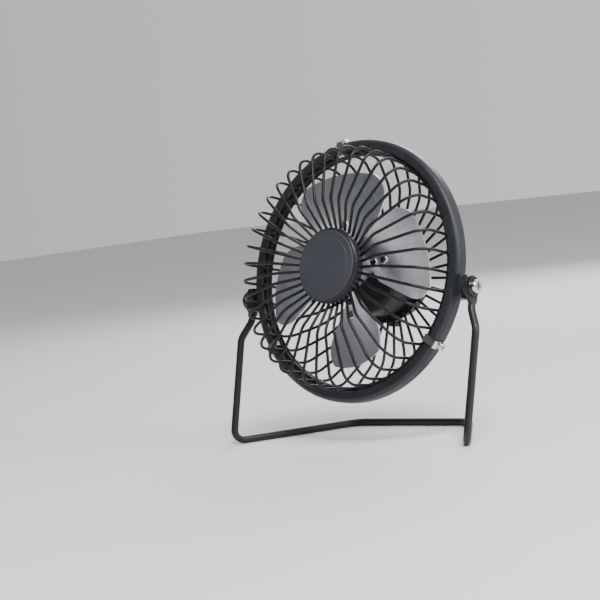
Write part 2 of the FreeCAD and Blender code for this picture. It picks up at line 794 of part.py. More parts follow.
def motor_brushes():
    """Two spring arms from the end cap to the commutator."""
    middle = commutator_front() - COMMUTATOR_LENGTH / 2
    inner = COMMUTATOR_R + 2 * SEAT_GAP
    arms = []
    for side in (1, -1):
        low_x = inner if side > 0 else -inner - BRUSH_REACH
        finger = Part.makeBox(BRUSH_REACH, BRUSH_THICKNESS, BRUSH_WIDTH,
                              Vector(low_x, -middle - BRUSH_THICKNESS / 2, -BRUSH_WIDTH / 2))
        foot_x = inner + BRUSH_REACH - BRUSH_THICKNESS if side > 0 else -inner - BRUSH_REACH
        foot_length = middle - end_cap_front() + BRUSH_THICKNESS / 2
        foot = Part.makeBox(BRUSH_THICKNESS, foot_length, BRUSH_WIDTH,
                            Vector(foot_x, -middle - BRUSH_THICKNESS / 2, -BRUSH_WIDTH / 2))
        arms.append(finger.fuse(foot))
    return Part.makeCompound(arms)


def bush(front):
    return tube(BUSH_R, SHAFT_R + SHAFT_RUNNING, front - BUSH_LENGTH, front)


def motor_bushes():
    rear_front = end_cap_front()
    rear = tube(BUSH_R, SHAFT_R + SHAFT_RUNNING, rear_front - END_CAP_THICKNESS, rear_front)
    return Part.makeCompound([bush(can_front() + CAN_BOSS_LENGTH), rear])


def motor_shaft():
    back = end_cap_front() - END_CAP_THICKNESS
    return tube(SHAFT_R, 0, back, SHAFT_FRONT)


# ---- rotor ----

def helicoid(inner, outer, thickness, offset):
    """Twisted sheet about +X whose forward distance grows with the angle, of even axial thickness."""
    half = math.radians(BLADE_SPAN_ANGLE / 2)
    rise = BLADE_LEAD / math.radians(60.0)
    steps = 12
    rails = []
    for radius in (inner, outer):
        points = []
        for step in range(steps + 1):
            angle = -half + 2 * half * step / steps
            forward = BLADE_MIDDLE_FORWARD + offset + rise * angle
            points.append(Vector(radius * math.cos(angle), -forward, radius * math.sin(angle)))
        rail = Part.BSplineCurve()
        rail.interpolate(points)
        rails.append(rail.toShape())
    sheet = Part.makeRuledSurface(rails[0], rails[1])
    return sheet.extrude(Vector(0, thickness, 0))


def planform(corners):
    """Tall prism over an outline in the ring's plane; corners are (along, across, bend)."""
    reach = BLADE_TIP_R
    outline = closed_outline([(Vector(along, -reach, across), bend) for along, across, bend in corners])
    return Part.Face(outline).extrude(Vector(0, 2 * reach, 0))


def rivet_holes():
    holes = [pin(RIVET_R, 2 * BLADE_TIP_R, Vector(radius, -BLADE_TIP_R, 0), AXIS) for radius in RIVET_RADII]
    return Part.makeCompound(holes)


def fan_blade():
    sheet = helicoid(ARM_ROOT_R, BLADE_TIP_R + BLADE_SHEET, BLADE_SHEET, BLADE_SHEET)
    outline = []
    half_side = [
        (BLADE_ROOT_R, BLADE_ROOT_HALF, BLADE_ROOT_CORNER),
        (BLADE_BELLY_R, BLADE_BELLY_HALF, BLADE_CORNER),
        (BLADE_TIP_R, BLADE_TIP_HALF, BLADE_CORNER),
    ]
    for along, across, bend in half_side:
        outline.append((along, -across, bend))
    for along, across, bend in reversed(half_side):
        outline.append((along, across, bend))
    blade = sheet.common(planform(outline))
    blade = blade.common(tube(BLADE_TIP_R, 0, -BLADE_TIP_R, BLADE_TIP_R))
    return blade.cut(rivet_holes())


def hub_arm():
    sheet = helicoid(HUB_R / 2, ARM_LENGTH_R + ARM_SHEET, ARM_SHEET, 0)
    outline = [
        (ARM_ROOT_R, -ARM_ROOT_HALF, 0),
        (ARM_LENGTH_R, -ARM_HALF, ARM_CORNER),
        (ARM_LENGTH_R, ARM_HALF, ARM_CORNER),
        (ARM_ROOT_R, ARM_ROOT_HALF, 0),
    ]
    return sheet.common(planform(outline)).cut(rivet_holes())


def blade_hub():
    """Hub with one arm behind each blade."""
    hub = turned([
        (0, HUB_FRONT, 0),
        (HUB_R, HUB_FRONT, HUB_FRONT_BEND),
        (HUB_R, HUB_BACK, HUB_BACK_BEND),
        (0, HUB_BACK, 0),
    ])
    arm = hub_arm()
    arms = [turn(arm, BLADE_PHASE + index * 360.0 / BLADE_COUNT) for index in range(BLADE_COUNT)]
    hub = hub.multiFuse(arms)
    return hub.cut(tube(SHAFT_R, 0, HUB_BACK, SHAFT_FRONT))


def blade_rivet(radius):
    """Rivet through blade and arm, with a low round head on the front."""
    face = BLADE_MIDDLE_FORWARD + BLADE_SHEET
    back = BLADE_MIDDLE_FORWARD - ARM_SHEET
    tip = face + RIVET_HEAD_HEIGHT
    inside_head = tip - RIVET_HEAD_HEIGHT / 2
    shank = pin(RIVET_R, inside_head - back, Vector(radius, -inside_head, 0), AXIS)
    head = pin(RIVET_HEAD_R, RIVET_HEAD_HEIGHT + RIVET_SINK, Vector(radius, -tip, 0), AXIS)
    rim = [edge for edge in head.Edges if edge.Closed and edge.CenterOfMass.y < -face]
    return shank.fuse(head.makeFillet(RIVET_HEAD_BEND, rim))


def blade_rivets():
    rivets = []
    for index in range(BLADE_COUNT):
        for radius in RIVET_RADII:
            rivets.append(turn(blade_rivet(radius), BLADE_PHASE + index * 360.0 / BLADE_COUNT))
    return Part.makeCompound(rivets)


# ---- rear cover, switch, inlet ----

def cover_front():
    return -REAR_PLATE_BACK - REAR_PLATE_THICKNESS - SEAT_GAP


def cover_back():
    return cover_front() - COVER_DEPTH


def gland_seat():
    """Middle of the inlet's hole in the cover's lower wall."""
    return Vector(0, GLAND_BACK, -HOUSING_RADIUS + HOUSING_WALL / 2)


def rear_cover():
    wall = HOUSING_WALL
    front = cover_front()
    back = cover_back()
    cup = turned([
        (0, back, 0),
        (HOUSING_RADIUS, back, COVER_BEND),
        (HOUSING_RADIUS, front, 0),
        (HOUSING_RADIUS - wall, front, 0),
        (HOUSING_RADIUS - wall, back + wall, COVER_BEND - wall),
        (0, back + wall, 0),
    ])
    cup = cup.cut(tube(BUTTON_R + BUTTON_HOLE_CLEARANCE, 0, back, back + wall))
    hole = pin(COVER_SCREW_R + SEAT_GAP, wall, Vector(COVER_SCREW_CIRCLE, -back - wall, 0), AXIS)
    for angle in COVER_SCREW_ANGLES:
        cup = cup.cut(turn(hole, angle))
    gland_hole = pin(GLAND_BODY_R, 4 * wall, gland_seat() + Vector(0, 0, 2 * wall), Vector(0, 0, -1))
    return cup.cut(gland_hole)


def cover_screw():
    seat = Vector(COVER_SCREW_CIRCLE, -cover_back() + SEAT_GAP, 0)
    return pan_screw(seat, AXIS, COVER_SCREW_R, COVER_SCREW_LENGTH,
                     COVER_SCREW_HEAD_R, COVER_SCREW_HEAD_HEIGHT)


def cover_screws():
    screw = cover_screw()
    return Part.makeCompound([turn(screw, angle) for angle in COVER_SCREW_ANGLES])


def switch_back():
    return -SWITCH_FRONT_BACK - SWITCH_LENGTH


def switch_body():
    half = SWITCH_SIZE / 2
    box = Part.makeBox(SWITCH_SIZE, SWITCH_LENGTH, SWITCH_SIZE, Vector(-half, SWITCH_FRONT_BACK, -half))
    edges = [edge for edge in box.Edges if abs(edge.tangentAt(edge.FirstParameter).y) > 0.9]
    box = box.makeFillet(SWITCH_BEND, edges)
    bore = tube(SWITCH_BORE_R, 0, switch_back(), switch_back() + SWITCH_BORE_DEPTH)
    flange = tube(SWITCH_FLANGE_R, BUTTON_R + BUTTON_HOLE_CLEARANCE,
                  cover_back() + HOUSING_WALL + SEAT_GAP, switch_back() + SWITCH_FLANGE_OVERLAP)
    return box.fuse(flange).cut(bore).removeSplitter()


def button_stem_end():
    """Forward distance of the button's stem, which leaves room for the travel and the pressed spring."""
    return switch_back() + SWITCH_BORE_DEPTH - BUTTON_TRAVEL - SPRING_PRESSED


def push_button():
    """Round button with a stem in the switch body."""
    tip = cover_back() - BUTTON_PROUD
    shoulder = cover_back() + HOUSING_WALL - BUTTON_CLEARANCE
    stem_r = SWITCH_BORE_R - BUTTON_CLEARANCE
    stem_end = button_stem_end()
    return turned([
        (0, tip, 0),
        (BUTTON_R, tip, BUTTON_BEND),
        (BUTTON_R, shoulder, 0),
        (stem_r, shoulder, 0),
        (stem_r, stem_end, 0),
        (0, stem_end, 0),
    ])


def button_spring():
    """Coil between the bottom of the switch's bore and the button's stem."""
    top = switch_back() + SWITCH_BORE_DEPTH - SPRING_END_GAP - SPRING_WIRE / 2
    bottom = button_stem_end() + SPRING_END_GAP + SPRING_WIRE / 2
    length = top - bottom
    radius = SWITCH_BORE_R - SPRING_WIRE
    helix = Part.makeHelix(length / SPRING_TURNS, length, radius)
    start = Vector(radius, 0, 0)
    circle = Part.makeCircle(SPRING_WIRE / 2, start, Vector(0, 1, 0))
    coil = Part.Wire(helix).makePipeShell([Part.Wire(circle)], True, True)
    coil.rotate(Vector(0, 0, 0), Vector(1, 0, 0), -90)
    coil.translate(Vector(0, -top, 0))
    return coil


def switch_tab_middle(side):
    """Middle of the tab on the left (-1) or right (1) of the switch."""
    across = SWITCH_SIZE / 2 + SEAT_GAP + SWITCH_TAB_LENGTH / 2
    back = SWITCH_FRONT_BACK + SWITCH_TAB_BACK + TERMINAL_SHEET / 2
    return Vector(side * across, back, SWITCH_TAB_RISE + SWITCH_TAB_WIDTH / 2)


def switch_terminals():
    half = Vector(SWITCH_TAB_LENGTH, TERMINAL_SHEET, SWITCH_TAB_WIDTH) * 0.5
    tabs = []
    for side in (1, -1):
        corner = switch_tab_middle(side) - half
        tabs.append(Part.makeBox(SWITCH_TAB_LENGTH, TERMINAL_SHEET, SWITCH_TAB_WIDTH, corner))
    return Part.makeCompound(tabs)


def motor_tab_end(side):
    """Middle of the free end of the motor's left (-1) or right (1) terminal."""
    back = -end_cap_front() + END_CAP_THICKNESS + TERMINAL_LENGTH - LEAD_D
    return Vector(side * TERMINAL_OFFSET, back, 0)


def lead_wires():
    """Two leads from the cable inlet, to the switch and to the motor, and one from switch to motor."""
    up = Vector(0, 0, 1)
    inlet = gland_top() + up * (2 * SEAT_GAP)
    right_start = inlet + Vector(LEAD_APART / 2, 0, 0)
    left_start = inlet - Vector(LEAD_APART / 2, 0, 0)
    switch_right = switch_tab_middle(1) - up * (SWITCH_TAB_WIDTH / 2 + SEAT_GAP)
    motor_left = motor_tab_end(-1) - up * (TERMINAL_WIDTH / 2 + SEAT_GAP)
    switch_left = switch_tab_middle(-1) + up * (SWITCH_TAB_WIDTH / 2 + SEAT_GAP)
    motor_right = motor_tab_end(1) + up * (TERMINAL_WIDTH / 2 + SEAT_GAP)
    over = SWITCH_SIZE / 2 + LEAD_OVER_SWITCH
    routes = [
        [right_start, right_start + up * LEAD_RISE, switch_right - up * LEAD_RISE, switch_right],
        [left_start, left_start + up * LEAD_RISE, motor_left - up * LEAD_RISE, motor_left],
        [switch_left, Vector(switch_left.x, switch_left.y, over),
         Vector(motor_right.x, motor_right.y, over), motor_right],
    ]
    return Part.makeCompound([round_bar(route, [LEAD_BEND, LEAD_BEND], LEAD_D) for route in routes])


def gland_top():
    """Middle of the inlet's inner end."""
    return gland_seat() + Vector(0, 0, HOUSING_WALL / 2 + GLAND_WALL_GAP + GLAND_FLANGE)


def cable_gland():
    """Rubber inlet with a groove for the cover's wall and a bore for the cable."""
    top = gland_top()
    down = Vector(0, 0, -1)
    groove = HOUSING_WALL + 2 * GLAND_WALL_GAP
    body = pin(GLAND_BODY_R, GLAND_LENGTH, top, down)
    inside = pin(GLAND_FLANGE_R, GLAND_FLANGE, top, down)
    outside = pin(GLAND_FLANGE_R, GLAND_FLANGE, top + down * (GLAND_FLANGE + groove), down)
    gland = body.multiFuse([inside, outside])
    return gland.cut(pin(GLAND_BORE_R, GLAND_LENGTH, top, down))


# ---- assembly ----

def stand_nodes():
    return {"stand_frame": stand_frame()}


def head_nodes():
    friction_start, friction_end, outer_start, outer_end = pivot_stack()
    return {
        "outer_ring": outer_ring(),
        "front_guard_wires": around(front_wire(), WIRE_COUNT, WIRE_PITCH / 2),
        "front_outer_hoop": hoop(HOOP_RING_RADIUS, FRONT_HOOP_FORWARD, HOOP_D),
        "front_inner_hoop": hoop(INNER_HOOP_RADIUS, INNER_HOOP_FORWARD, HOOP_D),
        "front_plate": front_plate(),
        "front_cap": front_cap(),
        "rear_guard_wires": around(rear_wire(), WIRE_COUNT, WIRE_PITCH / 2),
        "rear_hoop": hoop(HOOP_RING_RADIUS, REAR_HOOP_FORWARD, HOOP_D),
        "rear_plate": rear_plate(),
        "guard_clips": Part.makeCompound([turn(guard_clip(), angle) for angle in CLIP_ANGLES]),
        "clip_screws": Part.makeCompound([turn(clip_screw(), angle) for angle in CLIP_ANGLES]),
        "pivot_brackets": both_sides(pivot_bracket()),
        "friction_washers": both_sides(pivot_washer(FRICTION_WASHER_R, friction_start, friction_end)),
        "pivot_washers": both_sides(pivot_washer(OUTER_WASHER_R, outer_start, outer_end)),
        "pivot_screws": both_sides(pivot_screw()),
        "motor_housing": motor_housing(),
        "motor_can": motor_can(),
        "motor_screws": motor_screws(),
        "motor_magnets": motor_magnets(),
        "motor_bushes": motor_bushes(),
        "motor_end_cap": motor_end_cap(),
        "motor_brushes": motor_brushes(),
        "motor_terminals": motor_terminals(),
        "rear_cover": rear_cover(),
        "cover_screws": cover_screws(),
        "switch_body": switch_body(),
        "switch_terminals": switch_terminals(),
        "cable_gland": cable_gland(),
        "lead_wires": lead_wires(),
        "button_spring": button_spring(),
        "push_button": push_button(),
        "motor_shaft": motor_shaft(),
        "armature_core": armature_core(),
        "armature_windings": armature_windings(),
        "commutator": commutator(),
        "blade_hub": blade_hub(),
        "fan_blades": around(fan_blade(), BLADE_COUNT, BLADE_PHASE),
        "blade_rivets": blade_rivets(),
    }


def build():
    os.makedirs("parts", exist_ok=True)
    place = head_place()
    shapes = stand_nodes()
    for name, shape in head_nodes().items():
        placed = shape.copy()
        placed.Placement = place.multiply(placed.Placement)
        shapes[name] = placed
    for name, shape in shapes.items():
        shape.exportStep("parts/" + name + ".step")
        print(name, len(shape.Solids), "solids", round(shape.Volume, 1), "mm3", shape.isValid())


build()
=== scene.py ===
import json
import math

import bmesh
import bpy
from mathutils import Matrix, Quaternion, Vector


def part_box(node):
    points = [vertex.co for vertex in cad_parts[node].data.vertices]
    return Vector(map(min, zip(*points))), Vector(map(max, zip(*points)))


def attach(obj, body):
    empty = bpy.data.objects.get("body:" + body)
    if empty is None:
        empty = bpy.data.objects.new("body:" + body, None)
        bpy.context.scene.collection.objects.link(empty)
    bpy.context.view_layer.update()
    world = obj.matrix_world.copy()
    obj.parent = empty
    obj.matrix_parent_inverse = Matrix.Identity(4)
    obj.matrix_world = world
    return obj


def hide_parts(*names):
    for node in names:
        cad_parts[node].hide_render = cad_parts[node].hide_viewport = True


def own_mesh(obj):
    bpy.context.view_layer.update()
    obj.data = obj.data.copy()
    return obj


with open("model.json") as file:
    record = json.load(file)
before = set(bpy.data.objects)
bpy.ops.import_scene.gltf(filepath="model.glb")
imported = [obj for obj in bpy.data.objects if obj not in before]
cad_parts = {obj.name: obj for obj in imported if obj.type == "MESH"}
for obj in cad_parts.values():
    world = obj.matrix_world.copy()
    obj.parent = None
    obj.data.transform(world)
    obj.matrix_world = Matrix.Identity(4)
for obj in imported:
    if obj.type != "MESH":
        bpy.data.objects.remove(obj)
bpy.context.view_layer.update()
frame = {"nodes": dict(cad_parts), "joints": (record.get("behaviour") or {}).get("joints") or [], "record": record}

# Looks of a small metal desk fan: a tilting head between wire guards in a bent-rod stand. Metres.
# The head's own frame has its origin at the middle of the ring, the fan's axis along Y and its front
# towards -Y. "Forward" is the distance in front of the ring's middle and "radius" that from the axis.

# Viewpoint
VIEW_AZIMUTH = math.radians(40.0)
VIEW_ELEVATION = math.radians(3.0)
VIEW_ROLL = math.radians(7.0)
VIEW_DISTANCE = 0.90
LENS = 106.0
AIM_RIGHT = 0.0293
AIM_UP = 0.0116

# Studio: the sky is brightest behind the fan and dim in front of it
BRIGHT_SIDE = (0.40, 0.90, 0.0)
BRIGHT_SKY = (0.86, 0.87, 0.88)
DIM_SKY = (0.12, 0.125, 0.13)
FLOOR_REACH = 4.0
FLOOR_COLOUR = (0.82, 0.825, 0.83)

# Guards, as built
WIRE_COUNT = 40
WIRE_R = 0.00075
HOOP_R = 0.0010
BEAD_WIDE = 0.00125
BEAD_DEEP = 0.00080
BEAD_SINK = 0.0002
BEAD_SEGMENTS = 8
BEAD_RINGS = 5

# Front cap
CAP_SHEET = 0.0010
CAP_STEP_SHARE = 0.80
CAP_STEP = 0.00018
CAP_ROLL = 0.0006
CAP_FACETS = 96

# Switch button
BUTTON_HEAD_R = 0.0036
BUTTON_STEM_R = 0.0023
BUTTON_HEAD_DEPTH = 0.0037
BUTTON_DISH = 0.0006
BUTTON_LIP = 0.0008
BUTTON_FACETS = 48

# Switch spring
SPRING_WIRE_R = 0.000175
SPRING_COIL_R = 0.00205
SPRING_TURNS = 2.5
SPRING_STEPS = 24
SPRING_SIDES = 10

# Cable inlet
INLET_BORE_R = 0.0016
INLET_BODY_R = 0.0030
INLET_FLANGE_R = 0.0040
INLET_FLANGE = 0.0012
INLET_GROOVE = 0.0018
INLET_RIBS = 3
INLET_RIB_DEPTH = 0.0005
INLET_ROUND = 0.0003
INLET_LENGTH = 0.0070
INLET_FACETS = 40

# Armature coils: enamelled wire in side-by-side turns round each arm of the core
POLE_COUNT = 3
COIL_WIRE_R = 0.00018
COIL_LAYERS = 4
COIL_TURNS = 8
COIL_HOLE_WIDE = 0.0028
COIL_HOLE_LONG = 0.0062
COIL_START_R = 0.0044
COIL_LENGTH = 0.00289
COIL_BEND_SHARE = 0.3
COIL_CORNER_POINTS = 4
COIL_WIRE_SIDES = 6

# Meshes
ROUND_STEPS = 6
SMOOTH_ANGLE = math.radians(40.0)
MERGE_GAP = 1e-7


# ---- the head's frame ----

def find_joint(name):
    return next(joint for joint in frame["joints"] if joint["name"] == name)


spin = find_joint("rotor_spin")
HEAD_CENTRE = Vector(spin["pos_m"])
BACKWARD = Vector(spin["axis"])
HEAD_TILT = math.atan2(-BACKWARD.z, BACKWARD.y)
HEAD = Matrix.Translation(HEAD_CENTRE) @ Matrix.Rotation(-HEAD_TILT, 4, "X")


def local_middle(node):
    """Middle of a round CAD node in the head's frame."""
    low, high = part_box(node)
    return HEAD.inverted() @ ((low + high) / 2)


def round_radius(node):
    """Outer radius of a CAD node that is round about the fan's axis."""
    low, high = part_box(node)
    return (high.x - low.x) / 2


# ---- shader nodes ----

def place(tree, kind, inputs=(), **settings):
    """A node with its settings, and its inputs set or linked by name or number."""
    node = tree.nodes.new(kind)
    for name, value in settings.items():
        setattr(node, name, value)
    for socket, value in dict(inputs).items():
        if isinstance(value, bpy.types.NodeSocket):
            tree.links.new(value, node.inputs[socket])
        else:
            node.inputs[socket].default_value = value
    return node


def new_group(name, inputs, outputs):
    """An empty group; inputs are (name, kind, default) and outputs are (name, kind)."""
    tree = bpy.data.node_groups.new(name, "ShaderNodeTree")
    for label, kind, default in inputs:
        socket = tree.interface.new_socket(label, in_out="INPUT", socket_type="NodeSocket" + kind)
        socket.default_value = default
    for label, kind in outputs:
        tree.interface.new_socket(label, in_out="OUTPUT", socket_type="NodeSocket" + kind)
    return tree, tree.nodes.new("NodeGroupInput").outputs, tree.nodes.new("NodeGroupOutput").inputs


def use_group(tree, group, **values):
    """The group placed in a tree; a value's name is its input's name with spaces as underscores."""
    inputs = {name.replace("_", " "): value for name, value in values.items()}
    return place(tree, "ShaderNodeGroup", inputs, node_tree=group)


def object_point(tree):
    return place(tree, "ShaderNodeTexCoord").outputs["Object"]


def math_node(tree, operation, first, second, clamp=False):
    inputs = {0: first, 1: second}
    return place(tree, "ShaderNodeMath", inputs, operation=operation, use_clamp=clamp).outputs["Value"]


def noise(tree, point, scale, detail=3.0, roughness=0.5):
    inputs = {"Vector": point, "Scale": scale, "Detail": detail, "Roughness": roughness}
    return place(tree, "ShaderNodeTexNoise", inputs).outputs["Fac"]


def ramp(tree, value, low, high, from_low=0.0, from_high=1.0):
    """Value mapped from one range onto another, held at both ends."""
    inputs = {"Value": value, "From Min": from_low, "From Max": from_high, "To Min": low, "To Max": high}
    return place(tree, "ShaderNodeMapRange", inputs).outputs["Result"]


def blend_colour(tree, share, first, second):
    """Mix of two colours; a Mix node's colour sockets are numbered 6 and 7, and its colour output 2."""
    return place(tree, "ShaderNodeMix", {0: share, 6: first, 7: second}, data_type="RGBA").outputs[2]


def bump(tree, height, strength, distance):
    inputs = {"Height": height, "Strength": strength, "Distance": distance}
    return place(tree, "ShaderNodeBump", inputs).outputs["Normal"]


# ---- shared effects ----

def make_edge_wear():
    """White where a paint film rubs thin, on outward corners, broken up by noise."""
    tree, given, out = new_group(
        "edge_wear",
        [("Width", "Float", 0.0004), ("Amount", "Float", 0.5)],
        [("Mask", "Float")],
    )
    rounded = place(tree, "ShaderNodeBevel", {"Radius": given["Width"]}, samples=4).outputs["Normal"]
    flat = place(tree, "ShaderNodeNewGeometry").outputs["Normal"]
    likeness = place(tree, "ShaderNodeVectorMath", {0: rounded, 1: flat}, operation="DOT_PRODUCT")
    corner = ramp(tree, likeness.outputs["Value"], 1.0, 0.0, from_low=0.86, from_high=0.985)
    blotches = noise(tree, object_point(tree), scale=260.0, detail=5.0, roughness=0.65)
    patches = ramp(tree, blotches, 0.0, 1.0, from_low=0.42, from_high=0.66)
    rubbed = math_node(tree, "MULTIPLY", corner, patches)
    tree.links.new(math_node(tree, "MULTIPLY", rubbed, given["Amount"], clamp=True), out["Mask"])
    return tree


def make_paint_skin():
    """Satin paint film: slight orange peel, uneven tone, faint rub marks and thin edges."""
    tree, given, out = new_group(
        "paint_skin",
        [("Colour", "Color", (0.03, 0.03, 0.03, 1)), ("Worn Colour", "Color", (0.1, 0.1, 0.1, 1)),
         ("Roughness", "Float", 0.4), ("Peel Size", "Float", 900.0), ("Wear", "Float", 0.4),
         ("Edge", "Float", 0.0)],
        [("Colour", "Color"), ("Roughness", "Float"), ("Normal", "Vector")],
    )
    point = object_point(tree)
    tone_noise = noise(tree, point, scale=38.0, detail=4.0, roughness=0.6)
    tone = ramp(tree, tone_noise, 0.0, 1.0, from_low=0.35, from_high=0.7)
    lifted = place(tree, "ShaderNodeHueSaturation", {"Value": 1.28, "Color": given["Colour"]})
    film = blend_colour(tree, tone, given["Colour"], lifted.outputs["Color"])
    rubs = place(tree, "ShaderNodeMapping", {"Vector": point, "Scale": (1.0, 1.0, 0.16)}).outputs["Vector"]
    rub_noise = noise(tree, rubs, scale=520.0, detail=6.0, roughness=0.72)
    rub_marks = ramp(tree, rub_noise, 0.0, 1.0, from_low=0.62, from_high=0.78)
    rub = math_node(tree, "MULTIPLY", rub_marks, given["Wear"])
    worn = math_node(tree, "MAXIMUM", rub, given["Edge"])
    tree.links.new(blend_colour(tree, worn, film, given["Worn Colour"]), out["Colour"])
    mottle = ramp(tree, noise(tree, point, scale=120.0), -0.05, 0.07)
    rough = math_node(tree, "ADD", given["Roughness"], mottle)
    rough = math_node(tree, "ADD", rough, math_node(tree, "MULTIPLY", rub, 0.15), clamp=True)
    tree.links.new(rough, out["Roughness"])
    peel = noise(tree, point, given["Peel Size"], detail=2.0)
    tree.links.new(bump(tree, peel, strength=0.35, distance=0.00006), out["Normal"])
    return tree


def make_drawn_metal():
    """Rolled or brushed metal: fine lines along one direction, soft stains and a slight tarnish."""
    tree, given, out = new_group(
        "drawn_metal",
        [("Colour", "Color", (0.7, 0.7, 0.7, 1)), ("Stain Colour", "Color", (0.4, 0.4, 0.4, 1)),
         ("Line Scale", "Vector", (60.0, 900.0, 900.0)), ("Roughness", "Float", 0.3),
         ("Line Depth", "Float", 0.5), ("Stain", "Float", 0.3)],
        [("Colour", "Color"), ("Roughness", "Float"), ("Normal", "Vector")],
    )
    point = object_point(tree)
    stretched = place(tree, "ShaderNodeVectorMath", {0: point, 1: given["Line Scale"]}, operation="MULTIPLY")
    lines = noise(tree, stretched.outputs["Vector"], scale=1.0, detail=6.0, roughness=0.7)
    cloud_noise = noise(tree, point, scale=55.0, detail=5.0, roughness=0.62)
    clouds = ramp(tree, cloud_noise, 0.0, 1.0, from_low=0.45, from_high=0.75)
    stain = math_node(tree, "MULTIPLY", clouds, given["Stain"])
    streaks = ramp(tree, lines, 0.0, 0.22, from_low=0.4, from_high=0.7)
    tint = math_node(tree, "ADD", stain, streaks, clamp=True)
    tree.links.new(blend_colour(tree, tint, given["Colour"], given["Stain Colour"]), out["Colour"])
    spread = ramp(tree, lines, -0.08, 0.12)
    rough = math_node(tree, "ADD", given["Roughness"], spread)
    rough = math_node(tree, "ADD", rough, math_node(tree, "MULTIPLY", stain, 0.3), clamp=True)
    tree.links.new(rough, out["Roughness"])
    tree.links.new(bump(tree, lines, strength=given["Line Depth"], distance=0.00005), out["Normal"])
    return tree


def make_turned_rings():
    """Fine concentric lines about the fan's axis, as on a spun or turned piece."""
    tree, given, out = new_group(
        "turned_rings",
        [("Lines per Metre", "Float", 2600.0)],
        [("Height", "Float")],
    )
    own = place(
        tree, "ShaderNodeMapping",
        {"Vector": object_point(tree), "Location": HEAD_CENTRE, "Rotation": (-HEAD_TILT, 0.0, 0.0)},
        vector_type="TEXTURE",
    ).outputs["Vector"]
    flat = place(tree, "ShaderNodeVectorMath", {0: own, 1: (1.0, 0.0, 1.0)}, operation="MULTIPLY")
    radius = place(tree, "ShaderNodeVectorMath", {0: flat.outputs["Vector"]}, operation="LENGTH")
    lines = math_node(tree, "MULTIPLY", radius.outputs["Value"], given["Lines per Metre"])
    along = place(tree, "ShaderNodeCombineXYZ", {"X": lines})
    tree.links.new(noise(tree, along.outputs["Vector"], scale=1.0, roughness=0.6), out["Height"])
    return tree


def make_moulded_skin():
    """Moulded plastic or rubber: fine spark texture, soft shine marks and a little dust."""
    tree, given, out = new_group(
        "moulded_skin",
        [("Colour", "Color", (0.02, 0.02, 0.02, 1)), ("Dust Colour", "Color", (0.2, 0.19, 0.18, 1)),
         ("Roughness", "Float", 0.5), ("Grain Size", "Float", 2200.0), ("Dust", "Float", 0.15)],
        [("Colour", "Color"), ("Roughness", "Float"), ("Normal", "Vector")],
    )
    point = object_point(tree)
    speck_noise = noise(tree, point, scale=700.0, detail=6.0, roughness=0.7)
    specks = ramp(tree, speck_noise, 0.0, 1.0, from_low=0.55, from_high=0.8)
    dust = math_node(tree, "MULTIPLY", specks, given["Dust"])
    tree.links.new(blend_colour(tree, dust, given["Colour"], given["Dust Colour"]), out["Colour"])
    shine = ramp(tree, noise(tree, point, scale=140.0, detail=4.0), -0.1, 0.1)
    tree.links.new(math_node(tree, "ADD", given["Roughness"], shine, clamp=True), out["Roughness"])
    grain = place(tree, "ShaderNodeTexVoronoi", {"Vector": point, "Scale": given["Grain Size"]})
    tree.links.new(bump(tree, grain.outputs["Distance"], strength=0.3, distance=0.00005), out["Normal"])
    return tree


edge_wear = make_edge_wear()
paint_skin = make_paint_skin()
drawn_metal = make_drawn_metal()
turned_rings = make_turned_rings()
moulded_skin = make_moulded_skin()


# ---- materials ----

looks = {}


def new_material(name, **surface):
    """A material, kept in looks, with its Principled shader's own constants set; returns tree and shader."""
    material = bpy.data.materials.new(name)
    looks[name] = material
    material.use_nodes = True
    tree = material.node_tree
    tree.nodes.clear()
    shader = place(tree, "ShaderNodeBsdfPrincipled", {key.replace("_", " "): v for key, v in surface.items()})
    place(tree, "ShaderNodeOutputMaterial", {"Surface": shader.outputs["BSDF"]})
    return tree, shader


def finish_with(tree, shader, effect):
    """An effect group's colour, roughness and normal into the shader."""
    tree.links.new(effect.outputs["Colour"], shader.inputs["Base Color"])
    tree.links.new(effect.outputs["Roughness"], shader.inputs["Roughness"])
    tree.links.new(effect.outputs["Normal"], shader.inputs["Normal"])


def rgba(colour):
    return (*colour, 1.0)


def paint(name, colour, worn, roughness, peel=900.0, wear=0.35, edge=0.5, edge_width=0.0004):
    tree, shader = new_material(name, Coat_Weight=0.06, Coat_Roughness=0.32, Specular_IOR_Level=0.35)
    thin = use_group(tree, edge_wear, Width=edge_width, Amount=edge).outputs["Mask"]
    skin = use_group(tree, paint_skin, Colour=rgba(colour), Worn_Colour=rgba(worn), Roughness=roughness,
                     Peel_Size=peel, Wear=wear, Edge=thin)
    finish_with(tree, shader, skin)


def spun_paint(name, colour, worn, roughness, lines, depth):
    """Paint over a spun face: the paint film with faint rings under it."""
    tree, shader = new_material(name, Specular_IOR_Level=0.35)
    thin = use_group(tree, edge_wear, Width=0.0003, Amount=0.35).outputs["Mask"]
    skin = use_group(tree, paint_skin, Colour=rgba(colour), Worn_Colour=rgba(worn), Roughness=roughness,
                     Peel_Size=1400.0, Wear=0.22, Edge=thin)
    finish_with(tree, shader, skin)
    rings = use_group(tree, turned_rings, Lines_per_Metre=lines)
    inputs = {"Height": rings.outputs["Height"], "Strength": depth, "Distance": 0.00004,
              "Normal": skin.outputs["Normal"]}
    tree.links.new(place(tree, "ShaderNodeBump", inputs).outputs["Normal"], shader.inputs["Normal"])


def metal(name, colour, stain, roughness, lines=(80.0, 1100.0, 1100.0), depth=0.35, stained=0.3, **coat):
    tree, shader = new_material(name, Metallic=1.0, **coat)
    skin = use_group(tree, drawn_metal, Colour=rgba(colour), Stain_Colour=rgba(stain), Line_Scale=lines,
                     Roughness=roughness, Line_Depth=depth, Stain=stained)
    finish_with(tree, shader, skin)


